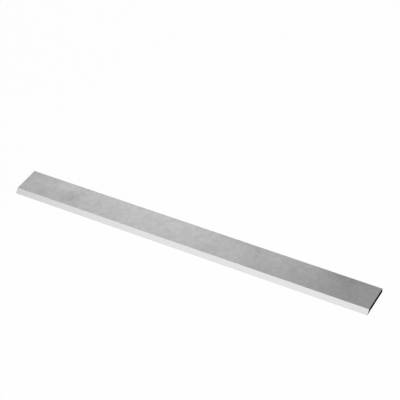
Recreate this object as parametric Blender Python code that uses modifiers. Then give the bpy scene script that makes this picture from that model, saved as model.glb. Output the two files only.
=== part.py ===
"""A straight planer knife of high-speed steel, lying on its flat back face.

+X runs along the knife, the cutting edge faces -Y, and +Z goes up through the thickness.
The origin is under the middle of the knife, on the surface that it lies on. Units are metres.

The knife is made as the real one is: a blank is cut from flat bar, its edges are broken,
and the bevel is ground last, so the bevel's own edges stay crisp.
"""

import math

import bmesh
import bpy

# The knife
LENGTH = 0.280
WIDTH = 0.025  # from the back edge to the cutting edge
THICKNESS = 0.003
BEVEL_ANGLE = math.radians(45.0)  # between the flat back face and the ground bevel
EDGE_BREAK = 0.0001  # the small round that takes the burr off the blank's edges

EDGE_BREAK_STEPS = 3
SHARP_ANGLE = math.radians(30.0)
SAME_POINT = 0.000001


def clear_scene():
    for thing in list(bpy.data.objects):
        bpy.data.objects.remove(thing, do_unlink=True)


def new_collection(name):
    collection = bpy.data.collections.new(name)
    bpy.context.scene.collection.children.link(collection)
    return collection


def new_steel(name, colour, roughness, metallic):
    material = bpy.data.materials.new(name)
    material.use_nodes = True
    shader = material.node_tree.nodes["Principled BSDF"]
    shader.inputs["Base Color"].default_value = (*colour, 1.0)
    shader.inputs["Roughness"].default_value = roughness
    shader.inputs["Metallic"].default_value = metallic
    material.diffuse_color = (*colour, 1.0)
    return material


def blank_outline():
    """The square-cut blank from above.

    It reaches a knife's thickness ahead of the cutting edge, and the grinding takes all of that.
    """
    end = LENGTH / 2
    back = WIDTH / 2
    front = -back - THICKNESS
    return [(-end, front), (end, front), (end, back), (-end, back)]


def outline_curve(name, outline, thickness, collection):
    """A flat outline as a filled 2D curve, extruded to both sides of its plane."""
    curve = bpy.data.curves.new(name, "CURVE")
    curve.dimensions = "2D"
    curve.fill_mode = "BOTH"
    curve.extrude = thickness / 2
    spline = curve.splines.new("POLY")
    spline.points.add(len(outline) - 1)
    for point, (x, y) in zip(spline.points, outline):
        point.co = (x, y, 0.0, 1.0)
    spline.use_cyclic_u = True
    made = bpy.data.objects.new(name, curve)
    made.location.z = thickness / 2
    collection.objects.link(made)
    return made


def mark_broken_edges(shape):
    """Marks the blank's sharp edges for the edge break.

    The back face meets the two ends crisply, so that the cutting edge is whole up to its corners.
    """
    weight = shape.edges.layers.float.new("bevel_weight_edge")
    lowest = min(vertex.co.z for vertex in shape.verts)
    for edge in shape.edges:
        along_y = abs(edge.verts[0].co.x - edge.verts[1].co.x) < SAME_POINT
        on_back_face = max(vertex.co.z for vertex in edge.verts) < lowest + SAME_POINT
        sharp = edge.calc_face_angle() > SHARP_ANGLE
        edge[weight] = float(sharp and not (along_y and on_back_face))


def solid_from_curve(curve_object, name, collection):
    """The curve's mesh, with its caps welded on and each flat face in one piece."""
    bpy.context.view_layer.update()
    graph = bpy.context.evaluated_depsgraph_get()
    mesh = bpy.data.meshes.new_from_object(curve_object.evaluated_get(graph))
    mesh.name = name
    shape = bmesh.new()
    shape.from_mesh(mesh)
    bmesh.ops.remove_doubles(shape, verts=shape.verts, dist=SAME_POINT)
    bmesh.ops.dissolve_limit(
        shape, angle_limit=math.radians(1.0), verts=shape.verts, edges=shape.edges
    )
    bmesh.ops.recalc_face_normals(shape, faces=shape.faces)
    mark_broken_edges(shape)
    shape.to_mesh(mesh)
    shape.free()
    solid = bpy.data.objects.new(name, mesh)
    solid.matrix_world = curve_object.matrix_world.copy()
    collection.objects.link(solid)
    bpy.data.objects.remove(curve_object, do_unlink=True)
    return solid


def break_edges(solid):
    rounds = solid.modifiers.new("Edge break", "BEVEL")
    rounds.width = EDGE_BREAK
    rounds.segments = EDGE_BREAK_STEPS
    rounds.limit_method = "WEIGHT"


def grinding_block(material, collection):
    """The space that the wheel sweeps, a knife's width past each end. Its lower face is the bevel's plane.

    The object's origin is on the cutting edge: its Y axis runs up the bevel and its Z axis
    points out of the steel.
    """
    sweep = LENGTH + 2 * WIDTH
    mesh = bpy.data.meshes.new("bevel_grinding")
    shape = bmesh.new()
    bmesh.ops.create_cube(shape, size=1.0)
    bmesh.ops.scale(shape, verts=shape.verts, vec=(sweep, 2 * WIDTH, WIDTH))
    bmesh.ops.translate(shape, verts=shape.verts, vec=(0.0, 0.0, WIDTH / 2))
    shape.to_mesh(mesh)
    shape.free()
    mesh.materials.append(material)
    block = bpy.data.objects.new("bevel_grinding", mesh)
    block.location = (0.0, -WIDTH / 2, 0.0)
    block.rotation_euler.x = BEVEL_ANGLE
    block.display_type = "WIRE"
    block.hide_render = True
    collection.objects.link(block)
    return block


def grind_bevel(solid, block):
    """Cuts the blank down to the bevel's plane. The new face takes the block's finish."""
    grinding = solid.modifiers.new("Ground bevel", "BOOLEAN")
    grinding.operation = "DIFFERENCE"
    grinding.solver = "EXACT"
    grinding.material_mode = "TRANSFER"
    grinding.object = block


def finish_faces(solid, face_steel, end_scale):
    """Ground steel all round, and the dark scale of the heat treatment on the two cut ends."""
    solid.data.materials.append(face_steel)
    solid.data.materials.append(end_scale)
    for face in solid.data.polygons:
        face.material_index = 1 if abs(face.normal.x) > math.cos(SHARP_ANGLE) else 0
    solid.data.shade_smooth()
    solid.data.set_sharp_from_angle(angle=SHARP_ANGLE)


def make_knife():
    knife_parts = new_collection("Planer knife")
    cutters = new_collection("Cutters")
    face_steel = new_steel("ground_steel", (0.52, 0.52, 0.52), 0.34, 1.0)
    bevel_steel = new_steel("bright_ground_bevel", (0.74, 0.74, 0.74), 0.26, 1.0)
    end_scale = new_steel("dark_end_scale", (0.012, 0.012, 0.013), 0.75, 0.0)

    outline = outline_curve("knife_outline", blank_outline(), THICKNESS, knife_parts)
    knife = solid_from_curve(outline, "planer_knife", knife_parts)
    finish_faces(knife, face_steel, end_scale)
    break_edges(knife)
    grind_bevel(knife, grinding_block(bevel_steel, cutters))
    return knife


clear_scene()
make_knife()
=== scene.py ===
import math

import bpy
import numpy as np
from mathutils import Matrix, Vector


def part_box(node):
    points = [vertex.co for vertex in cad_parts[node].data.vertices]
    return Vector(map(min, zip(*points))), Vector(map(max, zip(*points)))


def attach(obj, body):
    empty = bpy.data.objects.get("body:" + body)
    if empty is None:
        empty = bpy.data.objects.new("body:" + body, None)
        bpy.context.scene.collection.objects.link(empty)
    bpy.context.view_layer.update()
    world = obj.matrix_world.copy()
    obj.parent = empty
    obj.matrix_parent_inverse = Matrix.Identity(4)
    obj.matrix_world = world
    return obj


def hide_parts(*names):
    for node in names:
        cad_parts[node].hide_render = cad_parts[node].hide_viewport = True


mm = 0.001
micron = 0.000001
noiseMiddle = 0.5  # the middle of what a noise node gives, from 0 to 1
# sockets of a Mix node that mixes colours: the share of the second, the two colours and the result
mixShare, mixFirst, mixSecond, mixResult = 0, 6, 7, 2

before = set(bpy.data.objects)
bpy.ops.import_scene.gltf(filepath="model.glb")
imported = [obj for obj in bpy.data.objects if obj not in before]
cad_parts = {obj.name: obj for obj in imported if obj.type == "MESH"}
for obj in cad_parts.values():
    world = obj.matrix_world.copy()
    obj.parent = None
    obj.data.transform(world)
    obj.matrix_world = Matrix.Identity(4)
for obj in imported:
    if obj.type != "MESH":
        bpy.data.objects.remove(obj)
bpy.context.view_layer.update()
lowCorner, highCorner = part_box("planer_knife")
knifeLength = highCorner.x - lowCorner.x
knifeWidth = highCorner.y - lowCorner.y
knifeThickness = highCorner.z - lowCorner.z
print("frame: knife of", [round(side / mm, 2) for side in (knifeLength, knifeWidth, knifeThickness)], "mm")


# Small helpers for materials

def linearColour(hexValue):
    # sRGB hex to linear: value / 12.92 in the darks, a 2.4 power above them
    channels = np.array([int(hexValue[i:i + 2], 16) for i in (1, 3, 5)]) / 255.0
    linear = np.where(channels <= 0.04045, channels / 12.92, ((channels + 0.055) / 1.055) ** 2.4)
    return (*(float(value) for value in linear), 1.0)


def addNode(tree, kind, settings=None, inputs=None):
    # one node: settings are its properties, inputs are socket values or the sockets that feed them
    node = tree.nodes.new(kind)
    for key, value in (settings or {}).items():
        setattr(node, key, value)
    for key, value in (inputs or {}).items():
        if isinstance(value, bpy.types.NodeSocket):
            tree.links.new(value, node.inputs[key])
        else:
            node.inputs[key].default_value = value
    return node


def newMaterial(name):
    material = bpy.data.materials.new(name)
    material.use_nodes = True
    material.node_tree.nodes.clear()
    return material, material.node_tree


def addMarks(tree, place, sizes, spec):
    # noise at (x / first size, y / second, z / third), so that its grains are long marks
    stretch = addNode(tree, "ShaderNodeMapping", {"vector_type": "POINT"}, {
        "Vector": place, "Scale": tuple(1 / (size * mm) for size in sizes)})
    marks = addNode(tree, "ShaderNodeTexNoise", {"noise_dimensions": "3D"}, {
        "Vector": stretch.outputs[0], "Scale": 1.0,
        "Detail": spec["markLayers"], "Roughness": spec["markFineness"]})
    return marks.outputs["Fac"]


def addSteel(tree, tone, roughness, marks, spec):
    # bare steel with its marks in low relief
    bump = addNode(tree, "ShaderNodeBump", inputs={
        "Strength": 1.0, "Distance": spec["markDepth"] * micron, "Height": marks})
    shader = addNode(tree, "ShaderNodeBsdfPrincipled", inputs={
        "Base Color": tone, "Metallic": 1.0, "Roughness": roughness, "Normal": bump.outputs[0]})
    addNode(tree, "ShaderNodeOutputMaterial", inputs={"Surface": shader.outputs[0]})


# Surface-ground high-speed steel. The wheel leaves a satin face: from a step away its grit marks are
# too fine to tell apart, so the eye gets a grey with a fine mottle. Over it lie patches that are partly dull
# steel where the wheel sparked out and partly painted shade and painted light laid on the face.
# Close by, the marks show as fine arcs that cross the face.

groundFace = {
    "lightTone": "#E0E0E0",
    "darkTone": "#A8A8A8",
    "roughness": 0.31,
    "roughnessSpread": 0.06,  # how much rougher the darkest dull steel is than the brightest
    "mottleSize": 4.0,  # mm across the largest clouds of the mottle
    "mottleContrast": 0.9,
    "mottleLayers": 5.0,  # layers of finer and finer clouds, each half as large as the one before
    "mottleFineness": 0.82,  # strength of each layer, as a share of the one before
    "markContrast": 0.5,
    "markSpacing": 0.4,  # mm; real grit marks are 0.05 mm apart, drawn coarser so that they show at all
    "markLength": 14.0,  # mm
    "markDepth": 0.1,  # microns
    "markLayers": 3.0,
    "markFineness": 0.6,
    "wheelRadius": 110.0,  # mm, of the cup wheel whose marks cross the face
    "wheelOffset": 55.0,  # mm from the knife's middle line to the wheel's centre
    "patchContrast": 0.9,
    "patchWander": 3.0,  # mm that the patches' outlines stray from plain ovals
    "wanderSize": 8.0,  # mm from one stray to the next
    "wanderLayers": 2.0,
    # darker patches, partly dull steel and partly painted shade, and with a strength below 0 brighter ones,
    # partly rubbed steel and partly painted light, listed one by one:
    # mm from the left end, mm from the back edge, half length, half width, strength
    "patchesWithPaintedShade": [
        (5, 19, 16, 14, -0.10), (3, 0, 12, 10, 0.20), (18, 17, 14, 12, 0.10), (24, 1, 8, 7, 0.15),
        (32, 3, 14, 8, -0.10), (41, 14, 17, 13, 0.25), (46, 0, 10, 6, 0.15), (64, 14, 20, 16, 0.05),
        (80, 12, 10, 24, 0.05), (105, 14, 14, 12, 0.05), (116, 8, 50, 24, -0.05), (121, 20, 10, 10, 0.10),
        (156, 19, 12, 10, 0.10), (176, 0, 30, 10, 0.15), (188, 10, 10, 18, 0.10), (198, 21, 20, 12, 0.15),
        (219, 13, 14, 14, 0.10), (234, 19, 16, 12, 0.10), (244, 1, 12, 8, 0.20), (256, 10, 28, 20, 0.10),
        (256, 20, 20, 14, 0.15), (257, 2, 16, 14, 0.25),
    ],
}


def addMottle(tree, place, spec):
    # fractal noise, spread about its middle value: middle + contrast * (noise - middle)
    clouds = addNode(tree, "ShaderNodeTexNoise", {"noise_dimensions": "3D"}, {
        "Vector": place, "Scale": 1 / (spec["mottleSize"] * mm),
        "Detail": spec["mottleLayers"], "Roughness": spec["mottleFineness"]})
    spread = spec["mottleContrast"] * noiseMiddle
    mottle = addNode(tree, "ShaderNodeMapRange", {"clamp": False}, {
        "Value": clouds.outputs["Fac"], "To Min": noiseMiddle - spread, "To Max": noiseMiddle + spread})
    return mottle.outputs[0]


def addPatchesWithPaintedShade(tree, place, spec):
    # the sum of all patches, partly dull or rubbed steel and partly painted shade and light, each contrast *
    # strength * smoothstep(1 - distance), with the distance from the patch's middle counted in its half
    # sizes, at a place that noise leads astray
    stray = addNode(tree, "ShaderNodeTexNoise", {"noise_dimensions": "3D"}, {
        "Vector": place, "Scale": 1 / (spec["wanderSize"] * mm), "Detail": spec["wanderLayers"]})
    centred = addNode(tree, "ShaderNodeVectorMath", {"operation": "SUBTRACT"}, {
        0: stray.outputs["Color"], 1: (noiseMiddle, noiseMiddle, noiseMiddle)})
    wander = spec["patchWander"] * mm / noiseMiddle
    strayed = addNode(tree, "ShaderNodeVectorMath", {"operation": "MULTIPLY_ADD"}, {
        0: centred.outputs[0], 1: (wander, wander, 0.0), 2: place})
    total = 0.0
    for fromLeft, fromBack, halfLength, halfWidth, strength in spec["patchesWithPaintedShade"]:
        middle = (lowCorner.x + fromLeft * mm, highCorner.y - fromBack * mm, highCorner.z)
        shrink = tuple(1 / (half * mm) for half in (halfLength, halfWidth, halfWidth))
        offset = addNode(tree, "ShaderNodeVectorMath", {"operation": "SUBTRACT"}, {
            0: strayed.outputs[0], 1: middle})
        scaled = addNode(tree, "ShaderNodeVectorMath", {"operation": "MULTIPLY"}, {
            0: offset.outputs[0], 1: shrink})
        distance = addNode(tree, "ShaderNodeVectorMath", {"operation": "LENGTH"}, {0: scaled.outputs[0]})
        patch = addNode(tree, "ShaderNodeMapRange", {"interpolation_type": "SMOOTHSTEP"}, {
            "Value": distance.outputs["Value"], "To Min": spec["patchContrast"] * strength, "To Max": 0.0})
        total = addNode(tree, "ShaderNodeMath", {"operation": "ADD"}, {
            0: total, 1: patch.outputs[0]}).outputs[0]
    return total


def makeGroundFace(spec):
    # a mark is an arc of the wheel's rim: its place along the knife is x - sqrt(R^2 - (y - offset)^2)
    material, tree = newMaterial("surfaceGroundSteel")
    place = addNode(tree, "ShaderNodeTexCoord").outputs["Object"]
    axes = addNode(tree, "ShaderNodeSeparateXYZ", inputs={0: place})
    across = addNode(tree, "ShaderNodeMath", {"operation": "SUBTRACT"}, {
        0: axes.outputs["Y"], 1: spec["wheelOffset"] * mm})
    squared = addNode(tree, "ShaderNodeMath", {"operation": "MULTIPLY"}, {
        0: across.outputs[0], 1: across.outputs[0]})
    under = addNode(tree, "ShaderNodeMath", {"operation": "SUBTRACT"}, {
        0: (spec["wheelRadius"] * mm) ** 2, 1: squared.outputs[0]})
    reach = addNode(tree, "ShaderNodeMath", {"operation": "SQRT"}, {0: under.outputs[0]})
    along = addNode(tree, "ShaderNodeMath", {"operation": "SUBTRACT"}, {
        0: axes.outputs["X"], 1: reach.outputs[0]})
    arcPlace = addNode(tree, "ShaderNodeCombineXYZ", inputs={
        "X": along.outputs[0], "Y": axes.outputs["Y"], "Z": axes.outputs["Z"]})
    sizes = (spec["markSpacing"], spec["markLength"], spec["markLength"])
    marks = addMarks(tree, arcPlace.outputs[0], sizes, spec)
    # brightness is mottle - patches + contrast * (marks - middle), with the patches partly painted shade and
    # light: it sets the tone and the roughness
    mottlePatchesAndPaintedShade = addNode(tree, "ShaderNodeMath", {"operation": "SUBTRACT"}, {
        0: addMottle(tree, place, spec), 1: addPatchesWithPaintedShade(tree, place, spec)})
    markReach = spec["markContrast"] * noiseMiddle
    markTone = addNode(tree, "ShaderNodeMapRange", {"clamp": False}, {
        "Value": marks, "To Min": -markReach, "To Max": markReach})
    brightness = addNode(tree, "ShaderNodeMath", {"operation": "ADD"}, {
        0: mottlePatchesAndPaintedShade.outputs[0], 1: markTone.outputs[0]}).outputs[0]
    tone = addNode(tree, "ShaderNodeMix", {"data_type": "RGBA"}, {
        mixShare: brightness,
        mixFirst: linearColour(spec["darkTone"]), mixSecond: linearColour(spec["lightTone"])})
    halfSpread = spec["roughnessSpread"] / 2
    rough = addNode(tree, "ShaderNodeMapRange", inputs={
        "Value": brightness,
        "To Min": spec["roughness"] + halfSpread, "To Max": spec["roughness"] - halfSpread})
    addSteel(tree, tone.outputs[mixResult], rough.outputs[0], marks, spec)
    return material


# The bevel is ground last and finest, so it is brighter and closer to a mirror than the face,
# with faint marks that run along the edge.

groundBevel = {
    "lightTone": "#DEDEDE",
    "darkTone": "#D5D5D5",
    "roughness": 0.265,
    "markSpacing": 0.35,  # mm; real marks are 0.02 mm apart, drawn coarser so that they show at all
    "markLength": 30.0,  # mm
    "markDepth": 0.15,  # microns
    "markLayers": 2.0,
    "markFineness": 0.5,
}


def makeGroundBevel(spec):
    # noise at (x / length, y / spacing, z / spacing), so that the marks run along the edge
    material, tree = newMaterial("finelyGroundBevelSteel")
    place = addNode(tree, "ShaderNodeTexCoord").outputs["Object"]
    sizes = (spec["markLength"], spec["markSpacing"], spec["markSpacing"])
    marks = addMarks(tree, place, sizes, spec)
    tone = addNode(tree, "ShaderNodeMix", {"data_type": "RGBA"}, {
        mixShare: marks,
        mixFirst: linearColour(spec["darkTone"]), mixSecond: linearColour(spec["lightTone"])})
    addSteel(tree, tone.outputs[mixResult], spec["roughness"], marks, spec)
    return material


# Black oxide scale from the heat treatment, left on the two cut ends: matt, sooty and nearly black.

endScale = {
    "lightTone": "#1A1A1A",
    "darkTone": "#0A0A0A",
    "roughness": 0.8,
    "specular": 0.002,  # the sooty layer has almost no gloss
    "grainSize": 0.6,  # mm; real scale has grains under 0.1 mm, drawn coarser so that they show
    "grainLayers": 4.0,
}


def makeEndScale(spec):
    # plain noise between two near blacks: dark tone + noise * (light tone - dark tone)
    material, tree = newMaterial("blackOxideScale")
    place = addNode(tree, "ShaderNodeTexCoord").outputs["Object"]
    grain = addNode(tree, "ShaderNodeTexNoise", {"noise_dimensions": "3D"}, {
        "Vector": place, "Scale": 1 / (spec["grainSize"] * mm), "Detail": spec["grainLayers"]})
    tone = addNode(tree, "ShaderNodeMix", {"data_type": "RGBA"}, {
        mixShare: grain.outputs["Fac"],
        mixFirst: linearColour(spec["darkTone"]), mixSecond: linearColour(spec["lightTone"])})
    shader = addNode(tree, "ShaderNodeBsdfPrincipled", inputs={
        "Base Color": tone.outputs[mixResult], "Metallic": 0.0,
        "Roughness": spec["roughness"], "Specular IOR Level": spec["specular"]})
    addNode(tree, "ShaderNodeOutputMaterial", inputs={"Surface": shader.outputs[0]})
    return material


# The knife

knife = {
    "bevelAngle": 45.0,  # degrees between the flat back face and the ground bevel
    "edgeBreak": 0.1,  # mm, radius of the broken edges
    "stationStep": 2.0,  # mm between sections along the knife
    "breakSteps": 6,  # steps round each broken edge
    "faceSteps": 20,  # steps across each wide face
    "bevelSteps": 6,
    "edgeSteps": 4,  # steps up the back edge
    "sharpAngle": 25.0,  # degrees past which an edge stays crisp
}


def roundDrop(distance, radius):
    # how far a round of this radius has fallen away at a distance from the end: r - sqrt(r^2 - (r - d)^2)
    inside = np.clip(radius - distance, 0, radius)
    return radius - np.sqrt(radius ** 2 - inside ** 2)


def endDistances(spec):
    # how far the sections of one half stand from their end of the knife: they crowd into its round,
    # r * (1 - cos a) from the end face, and stand evenly after it
    radius = spec["edgeBreak"] * mm
    step = spec["stationStep"] * mm
    crowded = radius * (1 - np.cos(np.linspace(0, math.pi / 2, spec["breakSteps"] + 1)))
    return np.concatenate([crowded, np.arange(radius + step, knifeLength / 2, step)])


def sectionLoop(top, back, spec):
    # The closed outline of one section, from the cutting edge along the back face, up the back edge,
    # over the top face and down the bevel. Rows are sections and columns are places round the outline.
    radius = spec["edgeBreak"] * mm
    edge = lowCorner.y
    crest = edge + top / math.tan(math.radians(spec["bevelAngle"]))
    turn = np.linspace(0, math.pi / 2, spec["breakSteps"] + 1)[1:]
    wide = np.linspace(0, 1, spec["faceSteps"] + 1)[1:]
    high = np.linspace(0, 1, spec["edgeSteps"] + 1)[1:]
    slope = np.linspace(0, 1, spec["bevelSteps"] + 1)[1:]
    roundStart = back - radius  # where the wide faces pass into the rounds beside the back edge
    zones = [
        ("groundFace", edge + (roundStart - edge) * wide, 0.0),  # back face
        ("groundFace", roundStart + radius * np.sin(turn), radius * (1 - np.cos(turn))),  # round
        ("groundFace", back, radius + (top - 2 * radius) * high),  # back edge
        ("groundFace", roundStart + radius * np.cos(turn), top - radius + radius * np.sin(turn)),  # round
        ("groundFace", roundStart + (crest - roundStart) * wide, top),  # top face
        ("groundBevel", crest + (edge - crest) * slope, top * (1 - slope)),
    ]
    outline = [(finish, *np.broadcast_arrays(y, z)) for finish, y, z in zones]
    finishes = np.concatenate([[finish] * y.shape[1] for finish, y, z in outline])
    allY = np.concatenate([y for finish, y, z in outline], axis=1)
    allZ = np.concatenate([z for finish, y, z in outline], axis=1)
    return allY, allZ, finishes


def gridFaces(sections, places):
    # the quads between neighbouring points, where the last place of a section joins its first
    row, column = np.meshgrid(np.arange(sections - 1), np.arange(places), indexing="ij")
    follow = (column + 1) % places
    corners = [row * places + column, row * places + follow,
               (row + 1) * places + follow, (row + 1) * places + column]
    return np.stack(corners, -1).reshape(-1, 4).tolist()


def makeKnife(spec, materials):
    # one grid: the point (i, j) is the j-th place round the section that stands at x of station i
    radius = spec["edgeBreak"] * mm
    half = endDistances(spec)
    distance = np.concatenate([half, half[::-1]])
    x = np.concatenate([lowCorner.x + half, highCorner.x - half[::-1]])
    drop = roundDrop(distance, radius)[:, None]
    y, z, finishes = sectionLoop(knifeThickness - drop, highCorner.y - drop, spec)
    sections, places = y.shape
    points = np.stack([np.repeat(x[:, None], places, 1), y, z + lowCorner.z], -1).reshape(-1, 3)
    caps = [np.arange(places)[::-1], np.arange(places) + (sections - 1) * places]

    mesh = bpy.data.meshes.new("planerKnifeBlade")
    faces = gridFaces(sections, places) + [cap.tolist() for cap in caps]
    mesh.from_pydata(points.tolist(), [], faces)
    for material in materials.values():
        mesh.materials.append(material)

    # a strip of faces takes its finish from the point that it ends at
    strips = np.tile(np.roll(finishes, -1), (sections - 1, 1))
    # the grinding stops short of the rounds at the ends, so the scale of the cut runs on over them
    nearEnd = (distance[:-1] + distance[1:]) / 2 < radius
    strips[nearEnd[:, None] & (strips != "groundBevel")] = "endScale"
    order = list(materials)
    slots = [order.index(finish) for finish in [*strips.ravel(), *["endScale"] * len(caps)]]
    mesh.polygons.foreach_set("material_index", slots)
    mesh.shade_smooth()
    mesh.set_sharp_from_angle(angle=math.radians(spec["sharpAngle"]))
    mesh.update()
    blade = bpy.data.objects.new("planerKnifeBlade", mesh)
    bpy.context.scene.collection.objects.link(blade)
    weighted = blade.modifiers.new("flatFacesStayFlat", "WEIGHTED_NORMAL")
    weighted.keep_sharp = True
    print("knife:", sections, "sections of", places, "points")
    return blade


# Floor, light and camera

studio = {
    "floorSize": 12.0,  # m
    "floorTone": "#FAFAFA",
    "floorWhite": 0.93,  # share of plain white that the camera and the steel see in the floor
    "skyStrength": 1.3,
    # height of a direction, from 0 at the horizon to 1 overhead, and the tone of the sky there
    "sky": [(0.0, "#E3E3E3"), (0.25, "#919191"), (0.80, "#919191"), (0.96, "#F7F7F7")],
}


def makeFloor(spec):
    # matt white paper that looks plain white, by floorWhite * max(is camera, is glossy, is transmission
    # ray) of its brightness. The rest is lit by the studio, so it keeps the knife's shadow.
    half = spec["floorSize"] / 2
    corners = [(-half, -half, 0), (half, -half, 0), (half, half, 0), (-half, half, 0)]
    mesh = bpy.data.meshes.new("studioFloor")
    mesh.from_pydata(corners, [], [(0, 1, 2, 3)])
    floor = bpy.data.objects.new("studioFloor", mesh)
    bpy.context.scene.collection.objects.link(floor)
    material, tree = newMaterial("whitePaperFloor")
    path = addNode(tree, "ShaderNodeLightPath").outputs
    direct = addNode(tree, "ShaderNodeMath", {"operation": "MAXIMUM"}, {
        0: path["Is Camera Ray"], 1: path["Is Glossy Ray"]})
    seen = addNode(tree, "ShaderNodeMath", {"operation": "MAXIMUM"}, {
        0: direct.outputs[0], 1: path["Is Transmission Ray"]})
    share = addNode(tree, "ShaderNodeMath", {"operation": "MULTIPLY"}, {
        0: seen.outputs[0], 1: spec["floorWhite"]})
    paper = addNode(tree, "ShaderNodeBsdfDiffuse", inputs={"Color": linearColour(spec["floorTone"])})
    white = addNode(tree, "ShaderNodeEmission", inputs={"Color": linearColour("#FFFFFF"), "Strength": 1.0})
    both = addNode(tree, "ShaderNodeMixShader", inputs={
        0: share.outputs[0], 1: paper.outputs[0], 2: white.outputs[0]})
    addNode(tree, "ShaderNodeOutputMaterial", inputs={"Surface": both.outputs[0]})
    mesh.materials.append(material)


def makeSky(spec):
    # tone = ramp(z of the direction), so the light depends only on height and the sky has no sides
    world = bpy.data.worlds.new("softStudio")
    bpy.context.scene.world = world
    world.use_nodes = True
    tree = world.node_tree
    tree.nodes.clear()
    place = addNode(tree, "ShaderNodeTexCoord")
    axes = addNode(tree, "ShaderNodeSeparateXYZ", inputs={0: place.outputs["Generated"]})
    tone = addNode(tree, "ShaderNodeValToRGB", inputs={"Fac": axes.outputs["Z"]})
    ramp = tone.color_ramp
    ramp.interpolation = "EASE"
    for height, colour in spec["sky"][1:-1]:
        ramp.elements.new(height)
    for stop, (height, colour) in zip(ramp.elements, spec["sky"]):
        stop.position, stop.color = height, linearColour(colour)
    glow = addNode(tree, "ShaderNodeBackground", inputs={
        "Color": tone.outputs["Color"], "Strength": spec["skyStrength"]})
    addNode(tree, "ShaderNodeOutputWorld", inputs={"Surface": glow.outputs[0]})


def directionTo(azimuth, elevation):
    # from the knife's middle: (sin a cos e, -cos a cos e, sin e), with the azimuth a counted from straight
    # ahead of the cutting edge towards +X, and the elevation e up from the floor, both in degrees
    turn, rise = math.radians(azimuth), math.radians(elevation)
    return Vector((math.sin(turn) * math.cos(rise), -math.cos(turn) * math.cos(rise), math.sin(rise)))


# Metres and degrees, and radiance is the brightness of the white that the box shows
softboxes = {
    "frontLeftSoftbox": {"azimuth": -23.0, "elevation": 46.0, "distance": 1.0, "width": 0.8, "height": 0.7,
                         "radiance": 0.82},
    "backLeftSoftbox": {"azimuth": -147.0, "elevation": 32.5, "distance": 0.9, "width": 0.41, "height": 0.44,
                        "radiance": 0.75},
    "rightFillSoftbox": {"azimuth": 95.0, "elevation": 48.0, "distance": 1.2, "width": 1.3, "height": 1.0,
                         "radiance": 1.25},
}


def makeSoftbox(name, spec):
    away = directionTo(spec["azimuth"], spec["elevation"])
    light = bpy.data.lights.new(name, "AREA")
    light.shape = "RECTANGLE"
    light.size, light.size_y = spec["width"], spec["height"]
    light.energy = spec["radiance"] * math.pi * spec["width"] * spec["height"]  # watts
    lamp = bpy.data.objects.new(name, light)
    lamp.location = away * spec["distance"]
    lamp.rotation_mode = "QUATERNION"
    lamp.rotation_quaternion = away.to_track_quat("Z", "Y")
    lamp.visible_camera = False
    bpy.context.scene.collection.objects.link(lamp)


# The photograph's view, from a camera fitted to the knife's outline in its 400-pixel frame
view = {
    "azimuth": 30.93,  # degrees, as are the elevation and the roll
    "elevation": 40.12,
    "roll": 2.86,
    "distance": 984.8,  # mm from the knife's middle, along the line of sight
    "aimRight": 6.70,  # mm from the knife's middle to the picture's centre, across the line of sight
    "aimUp": 28.15,
    "focalPixels": 1406.7,
    "framePixels": 400,
    "sensorWidth": 36.0,  # mm
    "nearest": 0.01,  # m
    "farthest": 50.0,
}


def makeCamera(spec):
    azimuth, roll = math.radians(spec["azimuth"]), math.radians(spec["roll"])
    back = directionTo(spec["azimuth"], spec["elevation"])
    level = Vector((math.cos(azimuth), math.sin(azimuth), 0))
    upright = back.cross(level)
    right = level * math.cos(roll) - upright * math.sin(roll)
    up = level * math.sin(roll) + upright * math.cos(roll)
    data = bpy.data.cameras.new("photoView")
    data.sensor_width = spec["sensorWidth"]
    data.lens = data.sensor_width * spec["focalPixels"] / spec["framePixels"]
    data.clip_start, data.clip_end = spec["nearest"], spec["farthest"]
    camera = bpy.data.objects.new("photoView", data)
    place = (right * spec["aimRight"] + up * spec["aimUp"] + back * spec["distance"]) * mm
    camera.matrix_world = Matrix.Translation(place) @ Matrix((right, up, back)).transposed().to_4x4()
    bpy.context.scene.collection.objects.link(camera)
    bpy.context.scene.camera = camera


materials = {
    "groundFace": makeGroundFace(groundFace),
    "groundBevel": makeGroundBevel(groundBevel),
    "endScale": makeEndScale(endScale),
}
print("materials:", ", ".join(material.name for material in materials.values()))
blade = makeKnife(knife, materials)
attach(blade, "root")
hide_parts("planer_knife")

makeFloor(studio)
makeSky(studio)
for softboxName, softbox in softboxes.items():
    makeSoftbox(softboxName, softbox)
makeCamera(view)
bpy.context.scene.view_settings.view_transform = "Standard"
print("studio: floor, sky,", len(softboxes), "softboxes and the camera")
